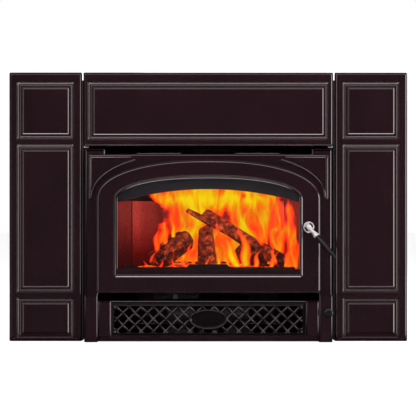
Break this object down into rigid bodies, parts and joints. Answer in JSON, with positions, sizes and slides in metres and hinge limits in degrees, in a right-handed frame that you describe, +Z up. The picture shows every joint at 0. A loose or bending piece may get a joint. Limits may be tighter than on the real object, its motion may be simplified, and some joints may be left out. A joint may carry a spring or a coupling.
{
  "type": "fireplace insert",
  "caption": "Wood-burning fireplace insert with an arched glass door, moulded surround panels, a drop-down lattice grille, a tapered casing and a brick-lined firebox with blower.",
  "frame": {"origin": "underside of the base plate, on the centre line, in the plane of the surround's back face, which rests against the fireplace's facing", "axes": "+X to the right as seen from the room, +Y back into the fireplace, +Z up; the door and the grille face -Y"},
  "size_m": [1.1, 0.5256, 0.7427],
  "materials": {
    "enamel": "very dark brown porcelain enamel, glossy",
    "black_steel": "matt black heat-proof paint on steel",
    "zinc_steel": "zinc-coated sheet steel",
    "nickel": "bright nickel plate",
    "black_grip": "smooth black heat-proof moulding",
    "door_glass": "clear ceramic glass",
    "rope": "braided glass-fibre rope and tape",
    "fire_brick": "dry red fire brick",
    "board": "pale mineral insulating board",
    "bark": "charred split log",
    "ember": "glowing embers on ash"
  },
  "bodies": {
    "body": {"surround_right": "enamel", "surround_left": "enamel", "surround_top": "enamel", "surround_bracket_right": "black_steel", "surround_bracket_left": "black_steel", "front_frame": "enamel", "latch_strike": "black_steel", "jacket_base": "black_steel", "jacket_right": "black_steel", "jacket_left": "black_steel", "jacket_back": "zinc_steel", "jacket_top": "black_steel", "firebox_floor": "black_steel", "firebox_wall": "black_steel", "firebox_top": "black_steel", "brick_floor": "fire_brick", "brick_right_front": "fire_brick", "brick_left_front": "fire_brick", "brick_right_rear": "fire_brick", "brick_left_rear": "fire_brick", "brick_back": "fire_brick", "air_manifold": "black_steel", "baffle_board": "board", "flue_collar": "black_steel", "log_guard": "black_steel", "ember_bed": "ember", "log_1": "bark", "log_2": "bark", "log_3": "bark", "log_4": "bark", "log_5": "bark", "air_box": "black_steel", "blower_housing_right": "zinc_steel", "blower_housing_left": "zinc_steel", "blower_motor": "black_steel", "blower_tray": "zinc_steel", "rheostat": "black_grip"},
    "door": {"door_frame": "enamel", "hinge_pin_lower": "zinc_steel", "hinge_pin_upper": "zinc_steel", "glass_gasket": "rope", "door_glass": "door_glass", "glass_clip_right_lower": "black_steel", "glass_clip_left_lower": "black_steel", "glass_clip_right_upper": "black_steel", "glass_clip_left_upper": "black_steel", "door_gasket": "rope"},
    "handle": {"handle_hub": "nickel", "handle_stem": "nickel", "handle_grip": "black_grip", "latch_cam": "zinc_steel"},
    "grille": {"grille_frame": "enamel", "grille_lattice": "enamel", "medallion": "enamel"},
    "air": {"air_slide": "black_steel"},
    "knob": {"speed_knob": "black_grip"},
    "rotor": {"blower_shaft": "zinc_steel", "blower_wheel_right": "zinc_steel", "blower_wheel_left": "zinc_steel"}
  },
  "joints": [
    {"name": "door_hinge", "type": "hinge", "parent": "body", "child": "door", "pos_m": [-0.299, -0.046, 0.271], "axis": [0, 0, -1], "range_deg": [0, 95]},
    {"name": "handle_turn", "type": "hinge", "parent": "door", "child": "handle", "pos_m": [0.2746, -0.06, 0.316], "axis": [0, -1, 0], "range_deg": [0, 90]},
    {"name": "grille_drop", "type": "hinge", "parent": "body", "child": "grille", "pos_m": [0, -0.0485, 0.022], "axis": [1, 0, 0], "range_deg": [0, 75]},
    {"name": "air_control", "type": "slide", "parent": "body", "child": "air", "axis": [1, 0, 0], "range_m": [-0.025, 0.025]},
    {"name": "speed_knob_turn", "type": "hinge", "parent": "body", "child": "knob", "pos_m": [0.329, -0.06, 0.0805], "axis": [0, 1, 0], "range_deg": [0, 270]},
    {"name": "blower_spin", "type": "hinge", "parent": "body", "child": "rotor", "pos_m": [0, 0.15, 0.062], "axis": [1, 0, 0], "continuous": true}
  ]
}
